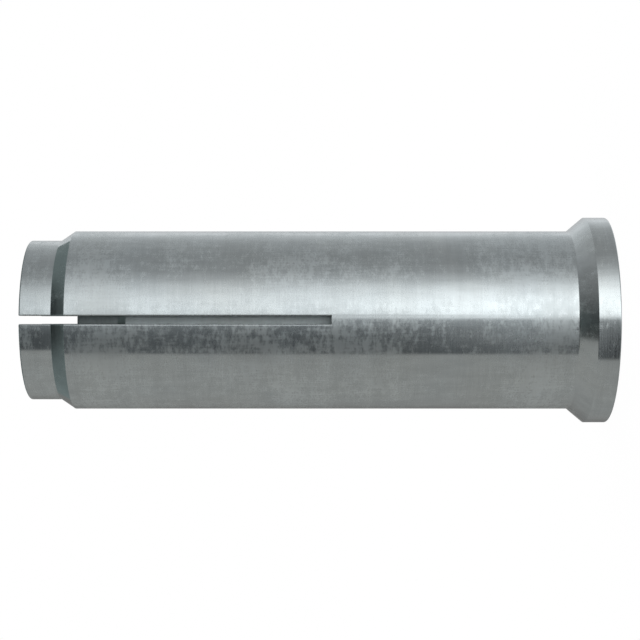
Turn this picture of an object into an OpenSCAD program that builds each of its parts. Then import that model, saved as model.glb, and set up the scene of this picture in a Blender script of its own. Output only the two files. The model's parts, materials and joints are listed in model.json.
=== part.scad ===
// Drop-in anchor: a slotted steel sleeve, tapped inside, and the expander plug that waits in its bore.
// The anchor stands on its rim. Z runs along its axis, from the rim's face at z = 0 to the slotted tip.
// The saw cuts lie between the axes, so +X runs through the middle of one of the segments.

/* [Sleeve] */
// Length of the sleeve, from the rim's face to the tip
sleeve_length = 80; // [70:0.5:100]
// Diameter of the shank, a little under the drilled hole that it drops into
shank_d = 24.8; // [24:0.1:26]
// Diameter of the turned-down tip
tip_d = 22.2; // [20.5:0.1:23.4]
// Length of the turned-down tip
tip_length = 4.3; // [2.5:0.1:6]
// Slope of the cone from the tip up to the shank, in degrees from the axis
tip_cone_angle = 34; // [25:1:60]
// Width of the chamfers that break the outer edges
edge_break = 0.2; // [0.1:0.05:0.5]

/* [Rim] */
// Diameter of the rim that stops the sleeve at the mouth of the hole
rim_d = 28.6; // [27:0.1:32]
// Length of the rim's straight land
rim_land = 3; // [2:0.1:5]
// Slope of the cone from the shank up to the rim, in degrees from the axis
rim_cone_angle = 40; // [30:1:60]

/* [Tapped hole] */
// Diameter of the drilled core that the thread is tapped in
core_d = 17.5; // [17.3:0.05:17.9]
// Diameter of the countersink at the mouth
mouth_d = 20.6; // [18.5:0.1:23]

/* [Expansion bore] */
// Gap all round between the plug and the bore that holds it
plug_clearance = 0.05; // [0.02:0.01:0.07]
// Length of plain bore behind the plug, up to the end of the tapped core
seat_lead = 1.05; // [0.5:0.05:4]
// Width of the chamfer that breaks the bore's edge at the tip
bore_edge_break = 0.25; // [0.1:0.05:0.5]

/* [Slots] */
// Number of saw cuts, each of which goes right across the sleeve
cut_count = 2; // [1:1:3]
// Width of the saw cuts
cut_width = 1.1; // [0.6:0.1:2]
// Length of the cuts on the shank's surface, from the tip
cut_length = 41.7; // [30:0.1:42]
// Diameter of the slitting saw, which rounds the root of each cut
saw_d = 80; // [60:1:120]

/* [Plug] */
// Diameter of the plug, which has to pass the tapped hole
plug_d = 16.9; // [16.4:0.05:17.1]
// Length of the plug
plug_length = 36; // [30:0.1:42]
// Distance that the plug is driven when the anchor is set, until it is flush with the tip
plug_travel = 7.3; // [3:0.1:10]
// Length of the plug's tapered nose
nose_length = 6.7; // [4:0.1:10]
// Taper of the nose and of the bore around it, in degrees from the axis
taper_angle = 10; // [6:0.5:12]
// Width of the chamfer at the nose's front edge
nose_edge_break = 0.25; // [0.1:0.05:0.6]
// Width of the chamfer at the end that the setting tool strikes
strike_edge_break = 0.6; // [0.2:0.1:1.2]

/* [Hidden] */
$fn = 128;
// Length by which a cutter runs past the face that it opens
overrun = 1;

// Heights of the outside, from the rim up
shank_z = rim_land + (rim_d - shank_d) / 2 / tan(rim_cone_angle);
tip_z = sleeve_length - tip_length;
tip_cone_z = tip_z - (shank_d - tip_d) / 2 / tan(tip_cone_angle);

// The plug at rest: its front face, and the shoulder where its nose begins
plug_front_z = sleeve_length - plug_travel;
plug_back_z = plug_front_z - plug_length;
shoulder_z = plug_front_z - nose_length;
nose_front_d = plug_d - 2 * nose_length * tan(taper_angle);

// The bore follows the plug at the clearance, from the end of the tapped core to the tip
seat_d = plug_d + 2 * plug_clearance;
tip_bore_d = nose_front_d + 2 * plug_clearance;
seat_z = plug_back_z - seat_lead;
core_depth = seat_z - (core_d - seat_d) / 2;
mouth_depth = (mouth_d - core_d) / 2;

// Centre of the saw, set so that its rim leaves the shank's surface at the cut's length
saw_rise = sqrt(pow(saw_d / 2, 2) - pow(shank_d / 2, 2));
saw_z = sleeve_length - cut_length + saw_rise;

// Outline of the turned blank, as radius and height
function blank_outline() = [
    [0, 0],
    [rim_d / 2 - edge_break, 0],
    [rim_d / 2, edge_break],
    [rim_d / 2, rim_land],
    [shank_d / 2, shank_z],
    [shank_d / 2, tip_cone_z],
    [tip_d / 2, tip_z],
    [tip_d / 2, sleeve_length - edge_break],
    [tip_d / 2 - edge_break, sleeve_length],
    [0, sleeve_length]
];

// Outline of the hollow right through the blank: mouth, tapped core, plug seat, taper and tip bore
function hollow_outline() = [
    [0, -overrun],
    [mouth_d / 2 + overrun, -overrun],
    [core_d / 2, mouth_depth],
    [core_d / 2, core_depth],
    [seat_d / 2, seat_z],
    [seat_d / 2, shoulder_z],
    [tip_bore_d / 2, plug_front_z],
    [tip_bore_d / 2, sleeve_length - bore_edge_break],
    [tip_bore_d / 2 + bore_edge_break + overrun, sleeve_length + overrun],
    [0, sleeve_length + overrun]
];

// Outline of the plug: struck end, straight body and tapered nose
function plug_outline() = [
    [0, plug_back_z],
    [plug_d / 2 - strike_edge_break, plug_back_z],
    [plug_d / 2, plug_back_z + strike_edge_break],
    [plug_d / 2, shoulder_z],
    [nose_front_d / 2 + nose_edge_break * tan(taper_angle), plug_front_z - nose_edge_break],
    [nose_front_d / 2 - nose_edge_break, plug_front_z],
    [0, plug_front_z]
];

// One cut of the slitting saw: the round root that the disc leaves, and its run out through the tip
module saw_cut() {
    translate([0, 0, saw_z])
        rotate([90, 0, 0])
            cylinder(d = saw_d, h = cut_width, center = true);
    translate([-saw_d / 2, -cut_width / 2, saw_z])
        cube([saw_d, cut_width, sleeve_length + overrun - saw_z]);
}

module sleeve() {
    color("silver")
        difference() {
            rotate_extrude() polygon(blank_outline());
            rotate_extrude() polygon(hollow_outline());
            for (turn = [0 : cut_count - 1])
                rotate([0, 0, (turn + 0.5) * 180 / cut_count])
                    saw_cut();
        }
}

module expander_plug() {
    color("lightslategray")
        rotate_extrude() polygon(plug_outline());
}

sleeve();
expander_plug();
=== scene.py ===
"""A zinc-plated drop-in anchor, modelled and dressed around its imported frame.

The sleeve is turned, sawn, deburred and tapped, and the expander plug sits in its bore.
Lengths are in millimetres up to the moment a mesh is made, where the frame's metres take over.
"""

import json
import logging
import math
from collections import Counter
from dataclasses import dataclass

import bpy
from mathutils import Matrix, Vector


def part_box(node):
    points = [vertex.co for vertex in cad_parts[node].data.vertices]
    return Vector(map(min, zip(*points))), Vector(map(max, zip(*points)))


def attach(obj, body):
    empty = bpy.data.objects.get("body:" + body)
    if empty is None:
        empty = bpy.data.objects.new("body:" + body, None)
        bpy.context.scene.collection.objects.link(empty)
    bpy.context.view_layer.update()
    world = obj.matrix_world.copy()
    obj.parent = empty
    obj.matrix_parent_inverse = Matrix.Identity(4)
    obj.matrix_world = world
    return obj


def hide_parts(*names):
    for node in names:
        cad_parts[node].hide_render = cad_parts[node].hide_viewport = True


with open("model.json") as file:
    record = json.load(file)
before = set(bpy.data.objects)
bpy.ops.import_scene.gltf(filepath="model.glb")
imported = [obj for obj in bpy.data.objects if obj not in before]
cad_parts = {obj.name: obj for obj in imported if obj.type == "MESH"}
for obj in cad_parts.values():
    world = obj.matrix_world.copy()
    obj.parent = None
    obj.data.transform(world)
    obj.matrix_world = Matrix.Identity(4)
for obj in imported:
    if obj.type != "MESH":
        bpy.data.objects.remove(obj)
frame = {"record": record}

LOG = logging.getLogger("anchor")
MM = 0.001
PICTURE_WIDTH = 640
SENSOR_WIDTH = 36.0

# One facet of a turned face spans this share of the circle, and a vertex lies on the middle of each slot
FACETS = 192
SMOOTH_ANGLE = math.radians(35)

# Vertices closer than this, in millimetres, are one vertex
SEAM = 0.001

# How near a face has to lie to a saw cut's wall or root to belong to it, in millimetres
WALL_SLACK = 0.01
ROOT_SLACK = 0.02

# Cosine of the angle up to which a face's normal points square across a cut
SQUARE = 0.999


def linear(hex_colour: str) -> tuple[float, float, float, float]:
    """Turns an sRGB hex colour into linear red, green, blue and alpha.

    Args:
        hex_colour: six hex digits, with or without a leading hash.

    Returns:
        The linear colour, with an alpha of 1.
    """
    digits = hex_colour.lstrip("#")
    channels = [int(digits[i : i + 2], 16) / 255 for i in (0, 2, 4)]
    red, green, blue = [c / 12.92 if c <= 0.04045 else ((c + 0.055) / 1.055) ** 2.4 for c in channels]
    return red, green, blue, 1.0


def mount_mm(name: str) -> tuple[float, float]:
    """Reads a round mount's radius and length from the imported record.

    Args:
        name: the mount's name.

    Returns:
        The radius and the length, in millimetres.
    """
    dims = next(m["dims"] for m in frame["record"]["mounts"] if m["name"] == name)
    return dims["r_mm"], dims["length_mm"]


def add_node(
    tree: bpy.types.NodeTree, kind: str, inputs: dict | None = None, **settings: object
) -> bpy.types.Node:
    """Adds a shader node with its settings, values and links.

    Args:
        tree: the node tree that takes the node.
        kind: the node's type, such as "ShaderNodeMath".
        inputs: a value or an output socket for each input, by the input's name or place.
        **settings: attributes of the node itself.

    Returns:
        The new node.
    """
    node = tree.nodes.new(kind)
    for name, value in settings.items():
        setattr(node, name, value)
    for key, value in (inputs or {}).items():
        if isinstance(value, bpy.types.NodeSocket):
            tree.links.new(value, node.inputs[key])
        else:
            node.inputs[key].default_value = value
    return node


def weighted_sum(
    tree: bpy.types.NodeTree, parts: list[tuple[bpy.types.NodeSocket, float]]
) -> bpy.types.NodeSocket:
    """Adds up values, each of them times its weight.

    Args:
        tree: the node tree that takes the nodes.
        parts: pairs of a value and its weight.

    Returns:
        The sum.
    """
    total = 0.0
    for part, weight in parts:
        step = add_node(tree, "ShaderNodeMath", {0: part, 1: weight, 2: total}, operation="MULTIPLY_ADD")
        total = step.outputs["Value"]
    return total


def deselect() -> None:
    """Leaves edit mode, where needed, and deselects every object."""
    if bpy.context.object and bpy.context.object.mode != "OBJECT":
        bpy.ops.object.mode_set(mode="OBJECT")
    bpy.ops.object.select_all(action="DESELECT")


def activate(piece: bpy.types.Object) -> None:
    """Makes a piece the only selected object, and the active one.

    Args:
        piece: the object to work on.
    """
    deselect()
    piece.select_set(True)
    bpy.context.view_layer.objects.active = piece


def settle(piece: bpy.types.Object) -> None:
    """Moves a piece's place, turn and scale into its mesh."""
    activate(piece)
    bpy.ops.object.transform_apply(location=True, rotation=True, scale=True)


def close_mesh(piece: bpy.types.Object) -> None:
    """Merges a mesh's doubles, fills its open ends and turns its faces outwards.

    Args:
        piece: the object whose mesh is closed.
    """
    activate(piece)
    bpy.ops.object.mode_set(mode="EDIT")
    bpy.ops.mesh.select_all(action="SELECT")
    bpy.ops.mesh.remove_doubles(threshold=SEAM * MM)
    bpy.ops.mesh.select_all(action="SELECT")
    bpy.ops.mesh.fill_holes(sides=0)
    bpy.ops.mesh.select_all(action="SELECT")
    bpy.ops.mesh.normals_make_consistent(inside=False)
    bpy.ops.object.mode_set(mode="OBJECT")


def carve(piece: bpy.types.Object, cutter: bpy.types.Object) -> None:
    """Takes a cutter's shape out of a piece, seals the cut's seams, and deletes the cutter.

    Args:
        piece: the object that is cut.
        cutter: a closed object, which is used up.
    """
    activate(piece)
    boolean = piece.modifiers.new("cut", "BOOLEAN")
    boolean.operation = "DIFFERENCE"
    boolean.solver = "EXACT"
    boolean.object = cutter
    bpy.ops.object.modifier_apply(modifier=boolean.name)
    bpy.data.objects.remove(cutter)
    bpy.ops.object.mode_set(mode="EDIT")
    bpy.ops.mesh.select_all(action="SELECT")
    bpy.ops.mesh.remove_doubles(threshold=SEAM * MM)
    bpy.ops.mesh.select_all(action="SELECT")
    bpy.ops.mesh.dissolve_degenerate(threshold=SEAM * MM)
    bpy.ops.object.mode_set(mode="OBJECT")


def open_edges(piece: bpy.types.Object) -> int:
    """Counts the edges of a piece that don't lie between exactly two faces."""
    uses = Counter(key for face in piece.data.polygons for key in face.edge_keys)
    return sum(1 for edge in piece.data.edges if uses[edge.key] != 2)


def shade(piece: bpy.types.Object) -> None:
    """Smooths a piece's faces up to its sharp edges, and lets the large faces rule the normals.

    Args:
        piece: the finished mesh.
    """
    activate(piece)
    bpy.ops.object.shade_smooth_by_angle(angle=SMOOTH_ANGLE)
    weighted = piece.modifiers.new("large faces first", "WEIGHTED_NORMAL")
    weighted.mode = "FACE_AREA"
    weighted.keep_sharp = True
    bpy.ops.object.modifier_apply(modifier=weighted.name)


@dataclass(frozen=True)
class Corner:
    """One corner of a turned outline.

    Attributes:
        radius: distance from the axis.
        height: place along the axis, from the rim's face.
        rounding: radius of the round that breaks the corner, or 0 for a sharp one.
    """

    radius: float
    height: float
    rounding: float = 0.0

    def place(self) -> Vector:
        """Returns the corner as a point of the outline's plane."""
        return Vector((self.radius, self.height))


def rounded_outline(corners: list[Corner], closed: bool, steps: int = 4) -> list[Vector]:
    """Walks an outline and replaces each rounded corner by an arc.

    Args:
        corners: the outline's corners in order.
        closed: whether the last corner joins the first.
        steps: how many stretches an arc is drawn with.

    Returns:
        The outline's points, as radius and height.
    """
    points = []
    count = len(corners)
    for index, corner in enumerate(corners):
        here = corner.place()
        if corner.rounding == 0 or (not closed and index in (0, count - 1)):
            points.append(here)
            continue
        back = (corners[index - 1].place() - here).normalized()
        ahead = (corners[(index + 1) % count].place() - here).normalized()
        half = back.angle(ahead) / 2
        bisector = (back + ahead).normalized()
        centre = here + bisector * (corner.rounding / math.sin(half))
        start = here + back * (corner.rounding / math.tan(half)) - centre
        sweep = start.angle_signed(here + ahead * (corner.rounding / math.tan(half)) - centre)
        for step in range(steps + 1):
            turned = start.copy()
            turned.rotate(Matrix.Rotation(-sweep * step / steps, 2))
            points.append(centre + turned)
    return points


def turn_on_lathe(name: str, outline: list[Vector], closed: bool) -> bpy.types.Object:
    """Draws an outline point by point and spins it round the Z axis.

    Args:
        name: name of the new object.
        outline: points as radius and height, in millimetres.
        closed: whether the outline closes on itself, as a ring's does.

    Returns:
        A closed object with its place in its mesh.
    """
    deselect()
    first = outline[0]
    bpy.ops.mesh.primitive_plane_add(size=MM, location=(first.x * MM, 0, first.y * MM))
    piece = bpy.context.object
    piece.name = name
    settle(piece)
    bpy.ops.object.mode_set(mode="EDIT")
    bpy.ops.mesh.select_mode(type="VERT")
    bpy.ops.mesh.select_all(action="SELECT")
    bpy.ops.mesh.merge(type="CENTER")
    steps = list(zip(outline, outline[1:] + outline[:1] if closed else outline[1:]))
    for start, end in steps:
        move = ((end.x - start.x) * MM, 0, (end.y - start.y) * MM)
        bpy.ops.mesh.extrude_region_move(TRANSFORM_OT_translate={"value": move})
    bpy.ops.mesh.select_all(action="SELECT")
    bpy.ops.mesh.spin(steps=FACETS, angle=math.tau, center=(0, 0, 0), axis=(0, 0, 1))
    bpy.ops.object.mode_set(mode="OBJECT")
    close_mesh(piece)
    return piece


@dataclass(frozen=True)
class Ramp:
    """How a level changes with one measure, such as a direction or a place along the axis.

    Attributes:
        low: lowest value of the measure.
        high: highest value of the measure.
        stops: pairs of the measure and the level there.
    """

    low: float
    high: float
    stops: tuple[tuple[float, float], ...]

    def node(self, tree: bpy.types.NodeTree, measure: bpy.types.NodeSocket) -> bpy.types.NodeSocket:
        """Draws the ramp.

        Args:
            tree: the node tree that takes it.
            measure: the measured value.

        Returns:
            The level at that value.
        """
        span = add_node(
            tree, "ShaderNodeMapRange", {"Value": measure, "From Min": self.low, "From Max": self.high}
        )
        ramp = add_node(tree, "ShaderNodeValToRGB", {"Fac": span.outputs["Result"]})
        elements = ramp.color_ramp.elements
        elements.remove(elements[-1])
        for index, (value, level) in enumerate(self.stops):
            place = (value - self.low) / (self.high - self.low)
            element = elements[0] if index == 0 else elements.new(place)
            element.position = place
            element.color = (level, level, level, 1)
        return ramp.outputs["Color"]


@dataclass(frozen=True)
class Grain:
    """A noise that is stretched along the lathe's path or round its axis.

    Attributes:
        width: size of the grain along the cutter's path, in millimetres.
        length: size of the grain round the axis, in millimetres.
        detail: how many finer layers of grain lie on top.
        shade: how much it counts in the shading of the colour.
        cover: how much it counts in the spread of the crystals.
        harshness: strength of each finer layer against the one before it.
    """

    width: float
    length: float
    detail: float
    shade: float = 0.0
    cover: float = 0.0
    harshness: float = 0.65

    def node(self, tree: bpy.types.NodeTree, place: bpy.types.NodeSocket) -> bpy.types.NodeSocket:
        """Draws the grain.

        Args:
            tree: the material's node tree.
            place: the point's place, in metres.

        Returns:
            The grain, from 0 to 1.
        """
        flat = add_node(tree, "ShaderNodeVectorMath", {0: place, 1: (1, 1, 0)}, operation="MULTIPLY")
        radius = add_node(tree, "ShaderNodeVectorMath", {0: flat.outputs["Vector"]}, operation="LENGTH")
        split = add_node(tree, "ShaderNodeSeparateXYZ", {"Vector": place})
        # The cutter's path is height plus radius, which changes along a wall and across an end face alike
        path = add_node(tree, "ShaderNodeMath", {0: radius.outputs["Value"], 1: split.outputs["Z"]})
        joined = add_node(
            tree,
            "ShaderNodeCombineXYZ",
            {"X": split.outputs["X"], "Y": split.outputs["Y"], "Z": path.outputs["Value"]},
        )
        across = 1 / (self.length * MM)
        scaled = add_node(
            tree,
            "ShaderNodeVectorMath",
            {0: joined.outputs["Vector"], 1: (across, across, 1 / (self.width * MM))},
            operation="MULTIPLY",
        )
        noise = add_node(
            tree,
            "ShaderNodeTexNoise",
            {
                "Vector": scaled.outputs["Vector"],
                "Scale": 1.0,
                "Detail": self.detail,
                "Roughness": self.harshness,
            },
        )
        return noise.outputs["Fac"]


@dataclass(frozen=True)
class TurnedZinc:
    """Zinc-plated steel, turned on a lathe and barrel-plated with a clear passivation.

    The cutter leaves fine rings round the axis, so a highlight runs out along the axis and stays narrow
    across it. The plating is a cool grey. Its crystals lie in small cloudy patches, which are matt where
    the metal between them still mirrors the studio, so they show most where that mirror is dark.

    Attributes:
        name: the material's name.
        cool: colour of the clean plating.
        warm: colour where the passivation is thicker.
        polish: roughness of the turned metal between the crystals.
        wear: how far a tool mark changes that roughness, either way.
        matt: roughness of the crystals.
        bloom: how much paler the crystals are than the metal between them.
        least_clouded: share of the surface that the crystals cover where it is clearest.
        most_clouded: share of it that they cover in the middle of a cloud.
        clear_below: sum of the grains below which the surface is clearest.
        clouded_above: sum of the grains above which it is most clouded.
        anisotropy: how far the rings stretch a highlight along the axis.
        groove_depth: depth of a tool mark, in millimetres.
        groove_strength: how much of that depth the light shows.
        marks: tool marks, drawn as coarse as the picture can show them.
        bands: broad rings, where the cutter ran a little duller.
        clouds: the crystals' clouds.
        rubs: rub marks, which handling leaves along the axis.
        smears: smears, which drying water leaves along the axis.
        shading: how far the grains shade the colour, as a share of it.
        shading_swing: how far from its middle the sum of the grains swings for that.
        patch_size: size of the patches of thicker passivation, in millimetres.
        weather_size: size of the patches in which the crystals lie thicker or thinner, in millimetres.
        weather_cover: how much those patches count in the spread of the crystals.
        thickness: how thick the crystals lie along the piece, by the place on its axis in millimetres.
        thickness_cover: how much that thickness counts in their spread.
    """

    name: str
    cool: str
    warm: str
    polish: float = 0.14
    wear: float = 0.03
    matt: float = 0.44
    bloom: float = 1.24
    least_clouded: float = 0.06
    most_clouded: float = 0.81
    clear_below: float = 0.99
    clouded_above: float = 1.35
    anisotropy: float = 0.6
    groove_depth: float = 0.01
    groove_strength: float = 0.25
    marks: Grain = Grain(0.16, 4.0, detail=2.0, shade=1.0)
    bands: Grain = Grain(1.44, 24.0, detail=1.0, shade=1.0)
    clouds: Grain = Grain(0.64, 1.3, detail=5.0, shade=0.25, cover=1.0)
    rubs: Grain = Grain(3.2, 0.4, detail=1.0, shade=0.3, cover=0.26)
    smears: Grain = Grain(5.5, 1.1, detail=2.0, shade=1.3)
    shading: float = 0.06
    shading_swing: float = 0.3
    patch_size: float = 9.0
    weather_size: float = 7.0
    weather_cover: float = 0.7
    thickness: Ramp = Ramp(
        0,
        80,
        (
            (0, 0.0), (5.2, 0.0), (5.7, 0.5), (8, 0.78), (12, 0.73), (18, 0.36), (22, 0.1),
            (26, 0.3), (30, 0.5), (44, 0.5), (50, 0.4), (62, 0.33), (67, 0.68), (71, 0.7),
            (73.7, 0.45), (74.1, 0.1), (75.6, 0.1), (76, 0.38), (80, 0.36),
        ),
    )
    thickness_cover: float = 0.35

    def material(self) -> bpy.types.Material:
        """Builds the material's nodes.

        Returns:
            The material, ready for a piece's slot.
        """
        made = bpy.data.materials.new(self.name)
        made.use_nodes = True
        tree = made.node_tree
        tree.nodes.clear()
        place = add_node(tree, "ShaderNodeTexCoord").outputs["Object"]
        kinds = (self.marks, self.bands, self.clouds, self.rubs, self.smears)
        grains = {grain: grain.node(tree, place) for grain in kinds}
        clean = self.colour(tree, place, grains)
        bloomed = add_node(
            tree, "ShaderNodeVectorMath", {0: clean, "Scale": self.bloom}, operation="SCALE"
        )
        grooves = add_node(
            tree,
            "ShaderNodeBump",
            {
                "Height": grains[self.marks],
                "Strength": self.groove_strength,
                "Distance": self.groove_depth * MM,
            },
        )
        rings = add_node(tree, "ShaderNodeTangent", direction_type="RADIAL", axis="Z")
        metal = {
            "Metallic": 1.0,
            "Normal": grooves.outputs["Normal"],
            "Tangent": rings.outputs["Tangent"],
        }
        turned = add_node(
            tree,
            "ShaderNodeBsdfPrincipled",
            {
                **metal,
                "Base Color": clean,
                "Roughness": self.roughness(tree, grains[self.marks]),
                "Anisotropic": self.anisotropy,
                "Anisotropic Rotation": 0.25,
            },
        )
        crystals = add_node(
            tree,
            "ShaderNodeBsdfPrincipled",
            {**metal, "Base Color": bloomed.outputs["Vector"], "Roughness": self.matt},
        )
        plated = add_node(
            tree,
            "ShaderNodeMixShader",
            {
                0: self.cloud_cover(tree, place, grains),
                1: turned.outputs["BSDF"],
                2: crystals.outputs["BSDF"],
            },
        )
        add_node(tree, "ShaderNodeOutputMaterial", {"Surface": plated.outputs["Shader"]})
        return made

    def roughness(self, tree: bpy.types.NodeTree, marks: bpy.types.NodeSocket) -> bpy.types.NodeSocket:
        """Makes the turned metal a little rougher and smoother from mark to mark.

        Args:
            tree: the material's node tree.
            marks: the grain of the tool marks, which lies mostly between 0.3 and 0.7.

        Returns:
            The turned metal's roughness.
        """
        worn = add_node(
            tree,
            "ShaderNodeMapRange",
            {
                "Value": marks,
                "From Min": 0.3,
                "From Max": 0.7,
                "To Min": self.polish - self.wear,
                "To Max": self.polish + self.wear,
            },
        )
        return worn.outputs["Result"]

    def colour(
        self,
        tree: bpy.types.NodeTree,
        place: bpy.types.NodeSocket,
        grains: dict[Grain, bpy.types.NodeSocket],
    ) -> bpy.types.NodeSocket:
        """Mixes the plating's two greys in slow patches, and shades them with the marks on the surface.

        Args:
            tree: the material's node tree.
            place: the point's place, in metres.
            grains: each grain with its value there.

        Returns:
            The surface's colour.
        """
        patches = add_node(
            tree,
            "ShaderNodeTexNoise",
            {"Vector": place, "Scale": 1 / (self.patch_size * MM), "Detail": 3.0},
        )
        plating = add_node(tree, "ShaderNodeMix", {"Factor": patches.outputs["Fac"]}, data_type="RGBA")
        # The Mix node keeps a pair of inputs for each data type, and the colours are the last pair
        plating.inputs[6].default_value = linear(self.cool)
        plating.inputs[7].default_value = linear(self.warm)
        middle = sum(grain.shade for grain in grains) / 2
        level = add_node(
            tree,
            "ShaderNodeMapRange",
            {
                "Value": weighted_sum(tree, [(value, grain.shade) for grain, value in grains.items()]),
                "From Min": middle - self.shading_swing,
                "From Max": middle + self.shading_swing,
                "To Min": 1 - self.shading,
                "To Max": 1 + self.shading,
            },
        ).outputs["Result"]
        shaded = add_node(
            tree, "ShaderNodeVectorMath", {0: plating.outputs[2], "Scale": level}, operation="SCALE"
        )
        return shaded.outputs["Vector"]

    def cloud_cover(
        self,
        tree: bpy.types.NodeTree,
        place: bpy.types.NodeSocket,
        grains: dict[Grain, bpy.types.NodeSocket],
    ) -> bpy.types.NodeSocket:
        """Spreads the matt crystals: small clouds, thicker and thinner along the piece.

        Args:
            tree: the material's node tree.
            place: the point's place, in metres.
            grains: each grain with its value there.

        Returns:
            The share of the surface that is matt, from 0 to 1.
        """
        weather = add_node(
            tree,
            "ShaderNodeTexNoise",
            {"Vector": place, "Scale": 1 / (self.weather_size * MM), "Detail": 2.0},
        )
        height = add_node(tree, "ShaderNodeSeparateXYZ", {"Vector": place}).outputs["Z"]
        along = add_node(tree, "ShaderNodeMath", {0: height, 1: 1 / MM}, operation="MULTIPLY")
        parts = [(value, grain.cover) for grain, value in grains.items() if grain.cover > 0]
        parts.append((weather.outputs["Fac"], self.weather_cover))
        parts.append((self.thickness.node(tree, along.outputs["Value"]), self.thickness_cover))
        cover = add_node(
            tree,
            "ShaderNodeMapRange",
            {
                "Value": weighted_sum(tree, parts),
                "From Min": self.clear_below,
                "From Max": self.clouded_above,
                "To Min": self.least_clouded,
                "To Max": self.most_clouded,
            },
            interpolation_type="SMOOTHSTEP",
        )
        return cover.outputs["Result"]


def dress(piece: bpy.types.Object, finish: TurnedZinc, node: str, body: str) -> None:
    """Gives a piece its finish, hangs it on the body that it moves with, and hides the CAD node that it
    stands for.

    Args:
        piece: the finished mesh.
        finish: what it is made of.
        node: the CAD node that it stands for, which is hidden.
        body: the body that it moves with.
    """
    piece.data.materials.clear()
    piece.data.materials.append(finish.material())
    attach(piece, body)
    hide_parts(node)


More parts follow.
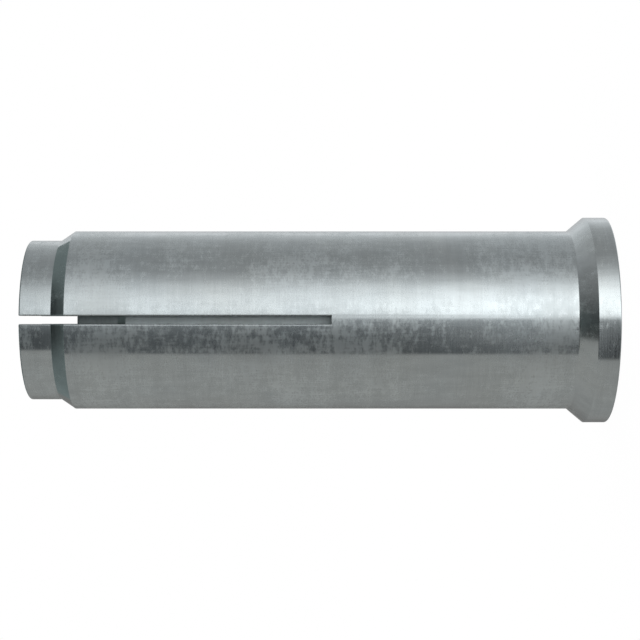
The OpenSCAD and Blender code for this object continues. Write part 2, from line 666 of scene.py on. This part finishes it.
@dataclass
class Sleeve:
    """The slotted sleeve: a turned blank with a rim, tapped at the rim's end and sawn across at the tip.

    Attributes:
        length: from the rim's face to the tip.
        rim_radius: radius of the rim.
        shank_radius: radius of the shank.
        core_radius: radius of the core that the thread is tapped in.
        core_depth: where the core ends.
        seat_radius: radius of the plug's seat.
        seat_height: where the seat begins.
        taper_height: where the seat's taper begins.
        tip_bore_radius: radius of the bore at the tip.
        tip_bore_height: where the tip's bore begins.
        rim_land: length of the rim's straight land.
        rim_cone: length of the cone behind the rim.
        tip_radius: radius of the turned-down tip.
        tip_length: length of the turned-down tip.
        tip_cone: length of the cone below the tip.
        mouth_radius: radius of the countersink at the mouth.
        edge_round: radius that breaks the two end edges.
        cone_round: radius where a cone meets a straight land.
        rim_fillet: radius at the foot of the rim's cone.
        mouth_round: radius at the edge of the countersink.
        bore_round: radius at the bore's edge at the tip.
        slot_width: width of a saw cut.
        slot_turns: directions of the two cuts round the axis, in degrees.
        saw_radius: radius of the slitting saw.
        cut_length: length of a cut on the shank's surface, from the tip.
        slot_burr: radius that deburring leaves on the slots' edges.
        burr_faces: how many faces go round such an edge.
        burr_reach: how far outside the seat an edge has to lie to be deburred.
        thread_pitch: pitch of the thread.
        thread_flat: width of the groove's floor, as a share of the pitch.
        thread_flank: slope of the groove's sides, in degrees from square to the axis.
        thread_radius: the thread's outer radius.
        thread_start: where the tap's helix begins, outside the mouth.
        thread_end: where the last full thread ends.
        tap_overlap: how far the tap's ridge reaches into the drilled core, so that it cuts clear.
        finish: what the sleeve is made of.
    """

    length: float
    rim_radius: float
    shank_radius: float
    core_radius: float
    core_depth: float
    seat_radius: float
    seat_height: float
    taper_height: float
    tip_bore_radius: float
    tip_bore_height: float
    rim_land: float = 3.0
    rim_cone: float = 2.264
    tip_radius: float = 11.1
    tip_length: float = 4.3
    tip_cone: float = 1.927
    mouth_radius: float = 10.3
    edge_round: float = 0.2
    cone_round: float = 0.12
    rim_fillet: float = 0.2
    mouth_round: float = 0.15
    bore_round: float = 0.2
    slot_width: float = 1.1
    slot_turns: tuple[float, float] = (45.0, 135.0)
    saw_radius: float = 40.0
    cut_length: float = 41.7
    slot_burr: float = 0.16
    burr_faces: int = 4
    burr_reach: float = 1.0
    thread_pitch: float = 2.5
    thread_flat: float = 0.125
    thread_flank: float = 30.0
    thread_radius: float = 10.0
    thread_start: float = -2.6
    thread_end: float = 33.0
    tap_overlap: float = 0.4
    finish: TurnedZinc = TurnedZinc("zinc-plated turned steel", cool="#bec6c8", warm="#c0c5c3")

    def build(self) -> bpy.types.Object:
        """Turns, saws, deburrs and taps the sleeve, and dresses it.

        Returns:
            The finished piece.
        """
        piece = turn_on_lathe("slotted_sleeve", self.outline(), closed=True)
        for slot_turn in self.slot_turns:
            carve(piece, self.saw(math.radians(slot_turn)))
        self.deburr(piece)
        carve(piece, self.tap())
        shade(piece)
        self.dress(piece)
        return piece

    def dress(self, piece: bpy.types.Object) -> None:
        """Plates the sleeve, which stays where it is."""
        dress(piece, self.finish, "sleeve", "sleeve")

    def outline(self) -> list[Vector]:
        """Lays out the blank and its bore.

        Returns:
            The outline's points, as radius and height.
        """
        tip = self.length - self.tip_length
        mouth_depth = self.mouth_radius - self.core_radius
        corners = [
            Corner(self.mouth_radius, 0, self.mouth_round),
            Corner(self.rim_radius, 0, self.edge_round),
            Corner(self.rim_radius, self.rim_land, self.cone_round),
            Corner(self.shank_radius, self.rim_land + self.rim_cone, self.rim_fillet),
            Corner(self.shank_radius, tip - self.tip_cone, self.cone_round),
            Corner(self.tip_radius, tip, self.cone_round),
            Corner(self.tip_radius, self.length, self.edge_round),
            Corner(self.tip_bore_radius, self.length, self.bore_round),
            Corner(self.tip_bore_radius, self.tip_bore_height),
            Corner(self.seat_radius, self.taper_height),
            Corner(self.seat_radius, self.seat_height),
            Corner(self.core_radius, self.core_depth),
            Corner(self.core_radius, mouth_depth),
        ]
        return rounded_outline(corners, closed=True)

    def tap(self) -> bpy.types.Object:
        """Makes the tap: one ridge of the thread, wound up the bore.

        Returns:
            A closed helix that cuts the thread's grooves.
        """
        inner = self.core_radius - self.tap_overlap
        crest_half = self.thread_flat * self.thread_pitch / 2
        root_half = crest_half + math.tan(math.radians(self.thread_flank)) * (self.thread_radius - inner)
        deselect()
        bpy.ops.mesh.primitive_plane_add(
            size=1,
            location=((inner + self.thread_radius) / 2 * MM, 0, self.thread_start * MM),
            rotation=(math.radians(90), 0, 0),
        )
        ridge = bpy.context.object
        ridge.name = "tap"
        ridge.scale = ((self.thread_radius - inner) * MM, 2 * root_half * MM, 1)
        settle(ridge)
        for vertex in ridge.data.vertices:
            vertex.select = vertex.co.x > (inner + self.thread_radius) / 2 * MM
        for edge in ridge.data.edges:
            edge.select = all(ridge.data.vertices[v].select for v in edge.vertices)
        for face in ridge.data.polygons:
            face.select = False
        bpy.ops.object.mode_set(mode="EDIT")
        bpy.ops.transform.resize(
            value=(1, 1, crest_half / root_half),
            center_override=(self.thread_radius * MM, 0, self.thread_start * MM),
        )
        bpy.ops.object.mode_set(mode="OBJECT")
        winding = ridge.modifiers.new("wind up the bore", "SCREW")
        winding.axis = "Z"
        winding.angle = math.tau
        winding.screw_offset = self.thread_pitch * MM
        winding.iterations = round((self.thread_end - self.thread_start) / self.thread_pitch)
        winding.steps = FACETS // 2
        winding.render_steps = FACETS // 2
        bpy.ops.object.modifier_apply(modifier=winding.name)
        close_mesh(ridge)
        return ridge

    def saw_height(self) -> float:
        """Returns the height of the saw's centre, for its rim to leave the shank at the cut's length."""
        return self.length - self.cut_length + math.sqrt(self.saw_radius**2 - self.shank_radius**2)

    def saw(self, slot_turn: float) -> bpy.types.Object:
        """Makes the slitting saw's disc, which leaves the slots' round run-out.

        Args:
            slot_turn: direction of the cut round the axis, in radians.

        Returns:
            A closed disc that stands across the sleeve.
        """
        deselect()
        bpy.ops.mesh.primitive_cylinder_add(
            vertices=2 * FACETS,
            radius=self.saw_radius * MM,
            depth=self.slot_width * MM,
            location=(0, 0, self.saw_height() * MM),
            rotation=(math.radians(90), 0, slot_turn),
        )
        disc = bpy.context.object
        settle(disc)
        return disc

    def deburr(self, piece: bpy.types.Object) -> None:
        """Rounds the edges that the saw left on the outside, as tumbling does.

        Args:
            piece: the sawn sleeve.
        """
        activate(piece)
        mesh = piece.data
        turns = [math.radians(turn) for turn in self.slot_turns]
        sides = [Vector((math.cos(turn), math.sin(turn), 0)) for turn in turns]
        axle = Vector((0, 0, self.saw_height() * MM))
        half_width = self.slot_width / 2 * MM
        sawn = set()
        for face in mesh.polygons:
            for side in sides:
                across = abs(face.center.dot(side))
                square = abs(face.normal.dot(side)) > SQUARE
                wall = square and abs(across - half_width) < WALL_SLACK * MM
                arm = face.center - axle
                reach = (arm - side * arm.dot(side)).length
                root = abs(reach - self.saw_radius * MM) < ROOT_SLACK * MM and across < half_width
                if wall or root:
                    sawn.add(face.index)
        borders = Counter(key for face in mesh.polygons if face.index in sawn for key in face.edge_keys)
        least = (self.seat_radius + self.burr_reach) * MM
        for item in (*mesh.vertices, *mesh.polygons):
            item.select = False
        for edge in mesh.edges:
            ends = [mesh.vertices[v].co for v in edge.vertices]
            outside = all(Vector((e.x, e.y)).length > least for e in ends)
            edge.select = borders[edge.key] == 1 and outside
        bpy.ops.object.mode_set(mode="EDIT")
        bpy.ops.mesh.select_mode(type="EDGE")
        bpy.ops.mesh.bevel(
            offset=self.slot_burr * MM,
            segments=self.burr_faces,
            profile=0.5,
            affect="EDGES",
            clamp_overlap=False,
        )
        bpy.ops.object.mode_set(mode="OBJECT")


@dataclass
class ExpanderPlug:
    """The expander plug: a turned slug with a tapered nose, driven up the bore by the setting tool.

    Attributes:
        radius: radius of the body.
        bottom: height of the struck end.
        top: height of the nose's front face.
        nose_length: length of the tapered nose.
        nose_radius: radius of the nose at its front.
        shoulder_length: length of the steep shoulder between the body and the taper.
        shoulder_drop: how much radius the shoulder takes off.
        struck_round: radius on the struck end's edge.
        shoulder_round: radius where the body ends.
        taper_round: radius where the taper begins.
        nose_round: radius on the nose's front edge.
        clearance: gap all round between the plug and its bore.
        finish: what the plug is made of.
    """

    radius: float
    bottom: float
    top: float
    nose_length: float = 6.7
    nose_radius: float = 7.269
    shoulder_length: float = 1.1
    shoulder_drop: float = 0.5
    struck_round: float = 0.6
    shoulder_round: float = 0.15
    taper_round: float = 0.3
    nose_round: float = 0.3
    clearance: float = 0.05
    finish: TurnedZinc = TurnedZinc(
        "zinc-plated steel, dull",
        cool="#a6aeaf",
        warm="#a7aba9",
        polish=0.16,
        least_clouded=0.8,
        most_clouded=0.95,
    )

    def build(self) -> bpy.types.Object:
        """Turns the plug and dresses it.

        Returns:
            The finished piece.
        """
        shoulder = self.top - self.nose_length
        corners = [
            Corner(0, self.bottom),
            Corner(self.radius, self.bottom, self.struck_round),
            Corner(self.radius, shoulder, self.shoulder_round),
            Corner(self.radius - self.shoulder_drop, shoulder + self.shoulder_length, self.taper_round),
            Corner(self.nose_radius, self.top, self.nose_round),
            Corner(0, self.top),
        ]
        piece = turn_on_lathe("turned_plug", rounded_outline(corners, closed=False), closed=False)
        shade(piece)
        self.dress(piece)
        return piece

    def dress(self, piece: bpy.types.Object) -> None:
        """Plates the plug, which slides along the bore."""
        dress(piece, self.finish, "expander_plug", "plug")


@dataclass(frozen=True)
class Zone:
    """One zone of the light round the anchor.

    Round the anchor's axis it is measured in degrees from the camera towards the picture's top, and along
    the axis by how steeply a direction rises, from -1 at the rim's end to 1 at the tip's.

    Attributes:
        name: what the zone is.
        tint: colour of its light.
        level: level that the two shares are taken of.
        around: share of that level round the axis.
        rise: share of it by how steeply the direction rises.
    """

    name: str
    tint: str
    level: float
    around: Ramp
    rise: Ramp

    def node(
        self, tree: bpy.types.NodeTree, around: bpy.types.NodeSocket, rise: bpy.types.NodeSocket
    ) -> bpy.types.NodeSocket:
        """Draws the zone.

        Args:
            tree: the world's node tree.
            around: the direction round the axis, in degrees.
            rise: how steeply the direction rises.

        Returns:
            The zone's light in that direction.
        """
        share = add_node(
            tree,
            "ShaderNodeVectorMath",
            {0: self.around.node(tree, around), 1: self.rise.node(tree, rise)},
            operation="MULTIPLY",
        )
        light = tuple(channel * self.level for channel in linear(self.tint)[:3])
        lit = add_node(
            tree, "ShaderNodeVectorMath", {0: share.outputs["Vector"], 1: light}, operation="MULTIPLY"
        )
        lit.label = self.name
        return lit.outputs["Vector"]


TABLE = Zone(
    "pale table below",
    "#fffefc",
    0.398,
    around=Ramp(
        -180,
        180,
        (
            (-180, 1.08), (-168, 0.6), (-158, 0.56), (-150, 0.68), (-142, 0.84), (-131, 0.92),
            (-118, 0.98), (-100, 1.0), (-43.8, 1.0), (-43.0, 0.0),
        ),
    ),
    rise=Ramp(-1, 1, ((-1, 1.0), (0.955, 1.0), (0.975, 0.35), (1, 0.2))),
)

GAP = Zone(
    "dark gap between the table and the strip",
    "#f2f9ff",
    0.32,
    around=Ramp(
        -180,
        180,
        (
            (-43.8, 0.0), (-43.0, 0.33), (-30, 0.34), (-20, 0.37), (-13, 0.45), (-8, 0.55),
            (-3, 0.7), (1, 0.8), (8, 0.9), (16, 0.6), (36, 0.0),
        ),
    ),
    rise=Ramp(
        -1,
        1,
        (
            (-1, 2.2), (-0.34, 2.2), (-0.24, 0.2), (-0.165, 0.2), (-0.146, 1.95), (-0.13, 1.8),
            (-0.12, 1.35), (-0.1, 1.0), (-0.08, 0.88), (-0.04, 1.04), (0.08, 0.96), (0.12, 1.8),
            (0.14, 1.6), (0.155, 0.9), (0.22, 0.7), (0.3, 0.3), (0.5, 0.15), (0.9, 0.2), (1, 0.1),
        ),
    ),
)

WALL = Zone(
    "grey wall above",
    "#fafcff",
    1.01,
    around=Ramp(
        -180,
        180,
        (
            (8, 0.0), (16, 0.15), (36, 0.31), (60, 0.335), (90, 0.365), (105, 0.43), (120, 0.5),
            (132, 0.63), (140, 0.77), (147, 0.9), (153, 0.86), (160, 0.74), (168, 0.62),
            (180, 0.45),
        ),
    ),
    rise=Ramp(
        -1,
        1,
        ((-1, 1.0), (0.75, 1.0), (0.86, 0.82), (0.905, 0.68), (0.93, 0.42), (0.95, 0.22), (1, 0.1)),
    ),
)

STRIP = Zone(
    "long soft strip above the camera",
    "#fcfdff",
    2.0,
    around=Ramp(
        -20,
        100,
        (
            (-20, 0.0), (-13, 0.02), (-8, 0.045), (-3, 0.085), (1, 0.12), (3.0, 0.42), (5.4, 0.76),
            (9, 0.94), (18, 1.0), (23, 0.98), (32, 0.84), (43, 0.6), (54, 0.27), (66, 0.09),
            (80, 0.02), (100, 0),
        ),
    ),
    rise=Ramp(
        -1,
        1,
        (
            (-0.9, 0.3), (-0.6, 0.8), (-0.25, 0.9), (-0.175, 0.89), (-0.145, 0.93), (-0.13, 0.89),
            (-0.08, 0.74), (-0.04, 0.67), (0.08, 0.47), (0.13, 0.47), (0.155, 0.5), (0.18, 0.5),
            (0.3, 0.15), (0.6, 0.0),
        ),
    ),
)

GLOW = Zone(
    "faint glow below the strip's end at the rim",
    "#fcfdff",
    0.66,
    around=Ramp(
        -60,
        20,
        (
            (-60, 0.0), (-44, 0.08), (-35, 0.42), (-27, 0.7), (-19.4, 1.0), (-11.6, 0.75),
            (-6, 0.55), (-1, 0.42), (2, 0.3), (4.5, 0.0),
        ),
    ),
    rise=Ramp(
        -0.25,
        0,
        (
            (-0.25, 0.0), (-0.157, 0.0), (-0.146, 1.0), (-0.125, 1.0), (-0.105, 0.3), (-0.085, 0.0),
        ),
    ),
)

FILL = Zone(
    "faint light beside the table's edge, beyond the tip",
    "#fffefc",
    0.06,
    around=Ramp(-60, 0, ((-44.5, 0.0), (-43.5, 1.0), (-34, 1.0), (-27, 0.75), (-20, 0.25), (-13, 0.0))),
    rise=Ramp(0.8, 1, ((0.85, 0.0), (0.92, 1.0), (0.96, 1.0), (0.97, 0.0))),
)


@dataclass
class Studio:
    """Floor, light, dark card and camera.

    The light comes from all round: a pale table, a grey wall, and a long soft strip above the camera with
    a dark gap below it.

    Attributes:
        look_turn: direction from the anchor's axis to the camera, round Z, in degrees.
        distance: distance of the camera from the axis.
        height: height of the camera.
        focal_pixels: focal length in pixels of the picture.
        nearest: distance from which the camera sees.
        farthest: distance up to which it sees.
        floor_size: width of the floor.
        floor_paint: colour of the floor's paper.
        floor_share: share of plain white in the floor that the camera sees, the rest being lit paper.
        floor_white: level of that white, which brings the lit floor up to the backdrop's white.
        zones: the light round the anchor.
        zone_turn: direction that the zones are measured from, round Z, in degrees.
        askew: how far the zones turn, in degrees, from the middle to the tip's end.
        card_height: height of the dark card, a flat ring round the axis beyond the tip.
        card_radius: outer radius of the card.
        card_hole: radius of the hole in the card.
        card_facets: how many sides stand for the card's round edges.
        card_level: level of the card, by the distance from its middle in millimetres.
        card_tint: colour of the card.
    """

    look_turn: float = -45.0
    distance: float = 231.9
    height: float = 39.73
    focal_pixels: float = 1655.0
    nearest: float = 10.0
    farthest: float = 10000.0
    floor_size: float = 3000.0
    floor_paint: str = "#f4f4f4"
    floor_share: float = 0.9
    floor_white: float = 1.08
    zones: tuple[Zone, ...] = (TABLE, GAP, WALL, STRIP, GLOW, FILL)
    zone_turn: float = -45.8
    askew: float = -2.0
    card_height: float = 95.0
    card_radius: float = 43.0
    card_hole: float = 13.0
    card_facets: int = 64
    card_level: Ramp = Ramp(
        13,
        43,
        (
            (13, 0.02), (16.7, 0.02), (17.0, 0.04), (17.3, 0.12), (17.8, 0.13), (18.4, 0.16),
            (19.2, 0.2), (20.3, 0.225), (21.8, 0.21), (23.8, 0.235), (26.8, 0.23), (31.5, 0.26),
            (43, 0.26),
        ),
    )
    card_tint: str = "#e9fbfb"

    def build(self) -> None:
        """Makes the floor, the surroundings and the camera."""
        self.floor()
        self.card()
        self.surroundings()
        self.camera()

    def camera(self) -> None:
        """Places the camera, rolled so that the anchor lies across the picture, tip to the left."""
        turn = math.radians(self.look_turn)
        towards = Vector((math.cos(turn), math.sin(turn), 0))
        up = Vector((-math.sin(turn), math.cos(turn), 0))
        right = Vector((0, 0, -1))
        data = bpy.data.cameras.new("camera")
        data.sensor_width = SENSOR_WIDTH
        data.lens = self.focal_pixels * SENSOR_WIDTH / PICTURE_WIDTH
        data.clip_start = self.nearest * MM
        data.clip_end = self.farthest * MM
        camera = bpy.data.objects.new("camera", data)
        bpy.context.scene.collection.objects.link(camera)
        place = towards * self.distance * MM + Vector((0, 0, self.height * MM))
        turned = Matrix((right, up, towards)).transposed().to_4x4()
        camera.matrix_world = Matrix.Translation(place) @ turned
        bpy.context.scene.camera = camera

    def floor(self) -> None:
        """Lays a plain pale floor, which stays out of the metal's mirror and keeps a faint shadow."""
        deselect()
        bpy.ops.mesh.primitive_plane_add(size=self.floor_size * MM)
        floor = bpy.context.object
        floor.name = "floor"
        floor.visible_glossy = False
        paint = bpy.data.materials.new("matt white paper")
        paint.use_nodes = True
        tree = paint.node_tree
        tree.nodes.clear()
        paper = add_node(tree, "ShaderNodeBsdfDiffuse", {"Color": linear(self.floor_paint)})
        white = add_node(tree, "ShaderNodeEmission", {"Strength": self.floor_white})
        rays = add_node(tree, "ShaderNodeLightPath").outputs["Is Camera Ray"]
        share = add_node(tree, "ShaderNodeMath", {0: rays, 1: self.floor_share}, operation="MULTIPLY")
        mixed = add_node(
            tree,
            "ShaderNodeMixShader",
            {0: share.outputs["Value"], 1: paper.outputs["BSDF"], 2: white.outputs["Emission"]},
        )
        add_node(tree, "ShaderNodeOutputMaterial", {"Surface": mixed.outputs["Shader"]})
        floor.data.materials.append(paint)

    def card(self) -> None:
        """Hangs the dark card beyond the tip, where the tip's cone mirrors it and the shank doesn't."""
        deselect()
        bpy.ops.mesh.primitive_circle_add(
            vertices=self.card_facets,
            radius=self.card_radius * MM,
            fill_type="NGON",
            location=(0, 0, self.card_height * MM),
        )
        card = bpy.context.object
        card.name = "dark_card"
        bpy.ops.object.mode_set(mode="EDIT")
        bpy.ops.mesh.select_mode(type="FACE")
        bpy.ops.mesh.select_all(action="SELECT")
        bpy.ops.mesh.inset(thickness=(self.card_radius - self.card_hole) * MM)
        bpy.ops.mesh.delete(type="FACE")
        bpy.ops.object.mode_set(mode="OBJECT")
        settle(card)
        card.visible_camera = False
        card.visible_diffuse = False
        card.visible_shadow = False
        card.visible_transmission = False
        felt = bpy.data.materials.new("dark felt")
        felt.use_nodes = True
        tree = felt.node_tree
        tree.nodes.clear()
        place = add_node(tree, "ShaderNodeTexCoord").outputs["Object"]
        flat = add_node(tree, "ShaderNodeVectorMath", {0: place, 1: (1, 1, 0)}, operation="MULTIPLY")
        reach = add_node(tree, "ShaderNodeVectorMath", {0: flat.outputs["Vector"]}, operation="LENGTH")
        reach_mm = add_node(
            tree, "ShaderNodeMath", {0: reach.outputs["Value"], 1: 1 / MM}, operation="MULTIPLY"
        )
        level = self.card_level.node(tree, reach_mm.outputs["Value"])
        tinted = add_node(
            tree, "ShaderNodeVectorMath", {0: level, 1: linear(self.card_tint)[:3]}, operation="MULTIPLY"
        )
        dark = add_node(tree, "ShaderNodeEmission", {"Color": tinted.outputs["Vector"], "Strength": 1.0})
        add_node(tree, "ShaderNodeOutputMaterial", {"Surface": dark.outputs["Emission"]})
        card.data.materials.append(felt)

    def surroundings(self) -> None:
        """Lights the anchor with the room and the strip, in front of a white backdrop for the camera."""
        world = bpy.data.worlds.new("studio")
        bpy.context.scene.world = world
        world.use_nodes = True
        tree = world.node_tree
        tree.nodes.clear()
        direction = add_node(tree, "ShaderNodeTexCoord").outputs["Generated"]
        turned = add_node(
            tree,
            "ShaderNodeMapping",
            {"Vector": direction, "Rotation": (0, 0, math.radians(-self.zone_turn))},
        ).outputs["Vector"]
        radial = add_node(tree, "ShaderNodeTexGradient", {"Vector": turned}, gradient_type="RADIAL")
        degrees = add_node(
            tree,
            "ShaderNodeMapRange",
            {"Value": radial.outputs["Fac"], "To Min": -180.0, "To Max": 180.0},
        ).outputs["Result"]
        rise = add_node(tree, "ShaderNodeSeparateXYZ", {"Vector": direction}).outputs["Z"]
        around = add_node(
            tree, "ShaderNodeMath", {0: rise, 1: self.askew, 2: degrees}, operation="MULTIPLY_ADD"
        ).outputs["Value"]

        lit = self.zones[0].node(tree, around, rise)
        for zone in self.zones[1:]:
            lit = add_node(
                tree, "ShaderNodeVectorMath", {0: lit, 1: zone.node(tree, around, rise)}, operation="ADD"
            ).outputs["Vector"]
        studio = add_node(tree, "ShaderNodeBackground", {"Color": lit, "Strength": 1.0})
        white = add_node(tree, "ShaderNodeBackground", {"Color": (1, 1, 1, 1), "Strength": 1.0})
        rays = add_node(tree, "ShaderNodeLightPath").outputs["Is Camera Ray"]
        mixed = add_node(
            tree,
            "ShaderNodeMixShader",
            {0: rays, 1: studio.outputs["Background"], 2: white.outputs["Background"]},
        )
        add_node(tree, "ShaderNodeOutputWorld", {"Surface": mixed.outputs["Shader"]})


def main() -> None:
    """Builds the anchor and its studio."""
    logging.basicConfig(level=logging.INFO)
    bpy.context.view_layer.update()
    sleeve_low, sleeve_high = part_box("sleeve")
    plug_low, plug_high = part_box("expander_plug")
    shank_radius, _ = mount_mm("shank")
    core_radius, core_length = mount_mm("thread")

    plug = ExpanderPlug(radius=plug_high.x / MM, bottom=plug_low.z / MM, top=plug_high.z / MM)
    seat_radius = plug.radius + plug.clearance
    core_depth = Sleeve.mouth_radius - core_radius + core_length
    sleeve = Sleeve(
        length=sleeve_high.z / MM,
        rim_radius=sleeve_high.x / MM,
        shank_radius=shank_radius,
        core_radius=core_radius,
        core_depth=core_depth,
        seat_radius=seat_radius,
        seat_height=core_depth + core_radius - seat_radius,
        taper_height=plug.top - plug.nose_length,
        tip_bore_radius=plug.nose_radius + plug.clearance,
        tip_bore_height=plug.top,
    )
    bpy.context.scene.view_settings.view_transform = "Standard"

    for piece in (sleeve.build(), plug.build()):
        LOG.info("%s: %d faces, %d open edges", piece.name, len(piece.data.polygons), open_edges(piece))
    Studio().build()


if __name__ == "__main__":
    main()
